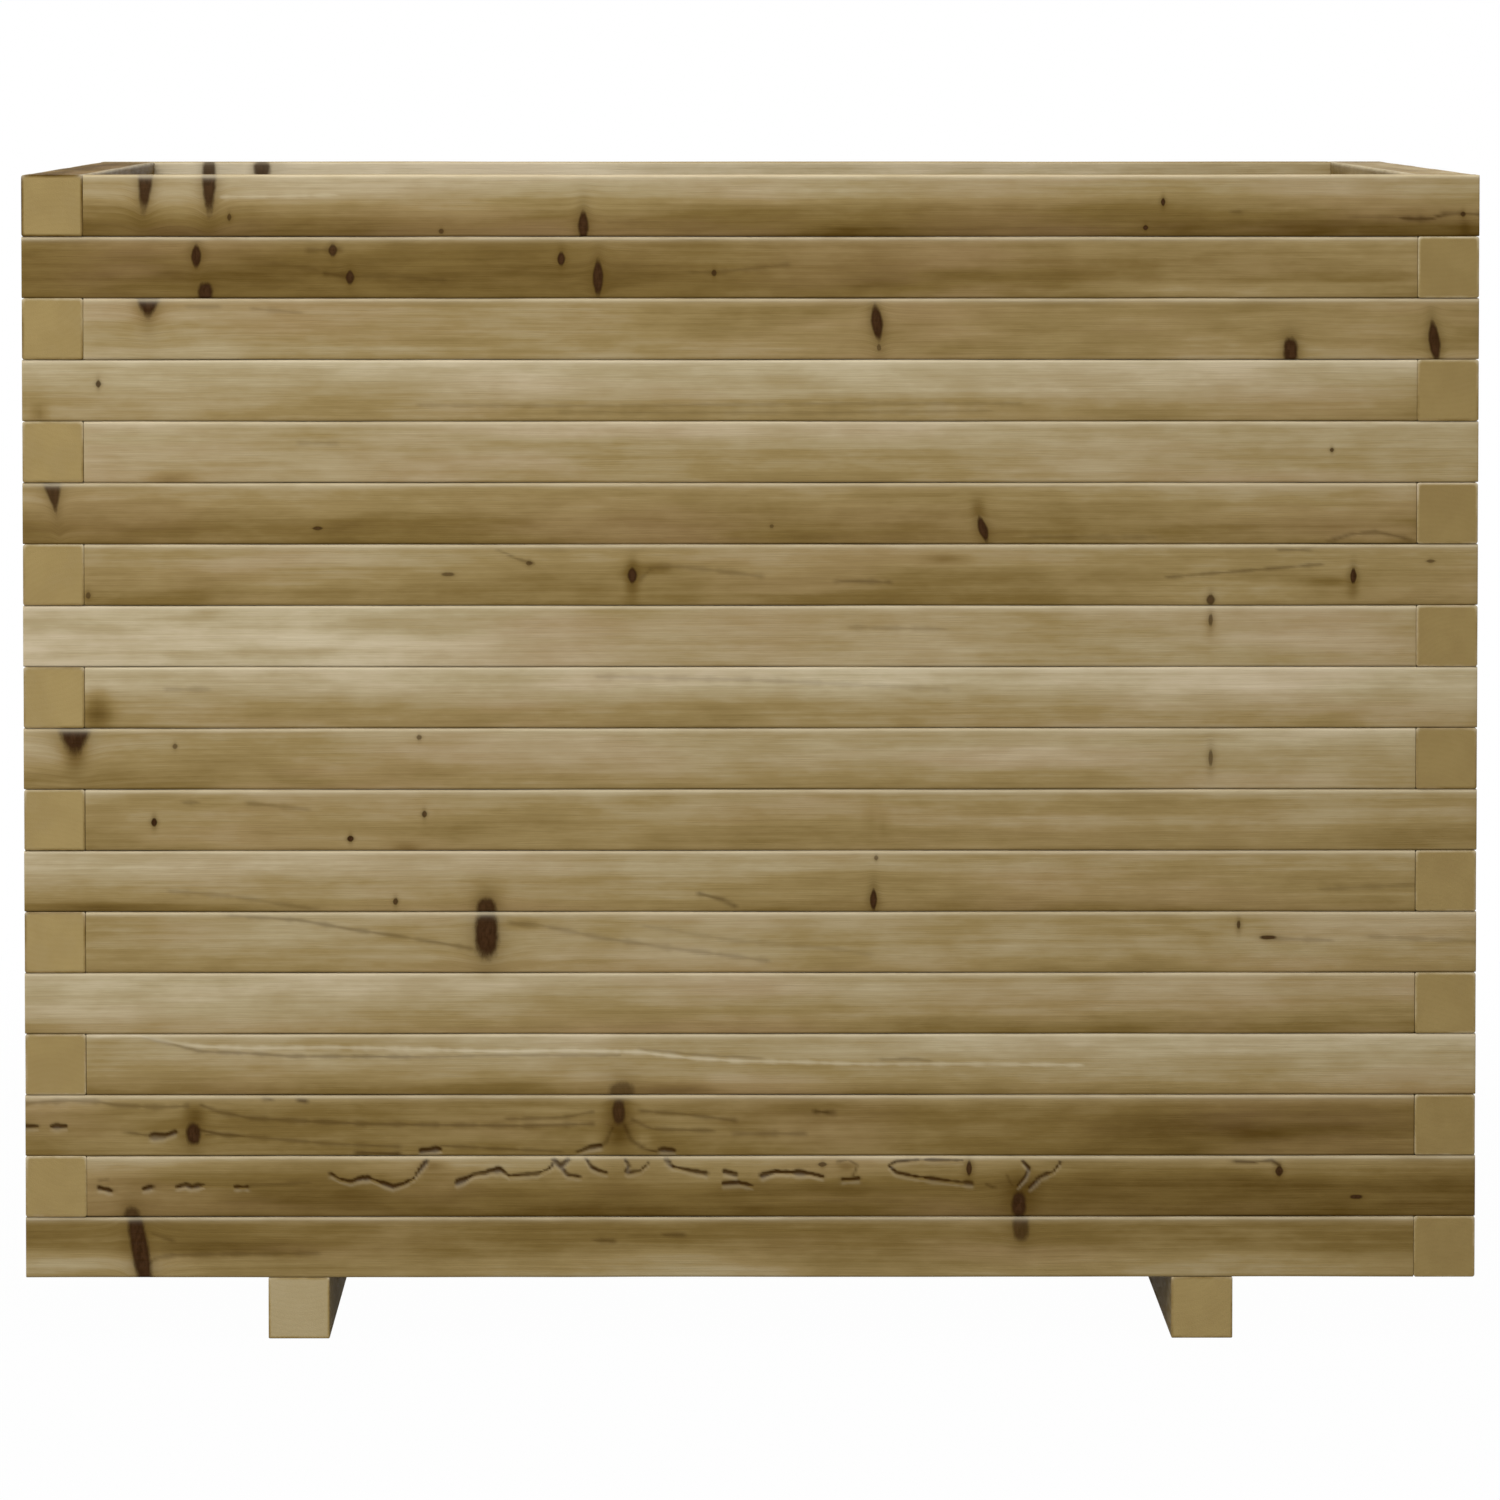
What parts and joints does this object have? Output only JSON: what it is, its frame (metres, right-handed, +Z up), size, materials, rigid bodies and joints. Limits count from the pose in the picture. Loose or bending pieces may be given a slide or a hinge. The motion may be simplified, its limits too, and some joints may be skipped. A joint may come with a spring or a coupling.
{
  "type": "planter",
  "caption": "Square garden planter of stacked treated pine timbers that interlock at the corners, on two runners, with a slatted floor.",
  "frame": {"origin": "middle of the planter's footprint, on the ground", "axes": "+Z up, the front face towards -Y, the runners along Y"},
  "size_m": [0.9, 0.9, 0.722],
  "materials": {
    "green_treated_pine": "planed, pressure-treated, matt",
    "screw_steel": "zinc-plated"
  },
  "bodies": {
    "root": {"front_beam_01": "green_treated_pine", "front_beam_02": "green_treated_pine", "front_beam_03": "green_treated_pine", "front_beam_04": "green_treated_pine", "front_beam_05": "green_treated_pine", "front_beam_06": "green_treated_pine", "front_beam_07": "green_treated_pine", "front_beam_08": "green_treated_pine", "front_beam_09": "green_treated_pine", "front_beam_10": "green_treated_pine", "front_beam_11": "green_treated_pine", "front_beam_12": "green_treated_pine", "front_beam_13": "green_treated_pine", "front_beam_14": "green_treated_pine", "front_beam_15": "green_treated_pine", "front_beam_16": "green_treated_pine", "front_beam_17": "green_treated_pine", "front_beam_18": "green_treated_pine", "back_beam_01": "green_treated_pine", "back_beam_02": "green_treated_pine", "back_beam_03": "green_treated_pine", "back_beam_04": "green_treated_pine", "back_beam_05": "green_treated_pine", "back_beam_06": "green_treated_pine", "back_beam_07": "green_treated_pine", "back_beam_08": "green_treated_pine", "back_beam_09": "green_treated_pine", "back_beam_10": "green_treated_pine", "back_beam_11": "green_treated_pine", "back_beam_12": "green_treated_pine", "back_beam_13": "green_treated_pine", "back_beam_14": "green_treated_pine", "back_beam_15": "green_treated_pine", "back_beam_16": "green_treated_pine", "back_beam_17": "green_treated_pine", "back_beam_18": "green_treated_pine", "side_beams_01": "green_treated_pine", "side_beams_02": "green_treated_pine", "side_beams_03": "green_treated_pine", "side_beams_04": "green_treated_pine", "side_beams_05": "green_treated_pine", "side_beams_06": "green_treated_pine", "side_beams_07": "green_treated_pine", "side_beams_08": "green_treated_pine", "side_beams_09": "green_treated_pine", "side_beams_10": "green_treated_pine", "side_beams_11": "green_treated_pine", "side_beams_12": "green_treated_pine", "side_beams_13": "green_treated_pine", "side_beams_14": "green_treated_pine", "side_beams_15": "green_treated_pine", "side_beams_16": "green_treated_pine", "side_beams_17": "green_treated_pine", "side_beams_18": "green_treated_pine", "left_runner": "green_treated_pine", "right_runner": "green_treated_pine", "floor_slats": "green_treated_pine", "wall_screws": "screw_steel", "runner_screws": "screw_steel", "floor_screws": "screw_steel"}
  },
  "joints": []
}
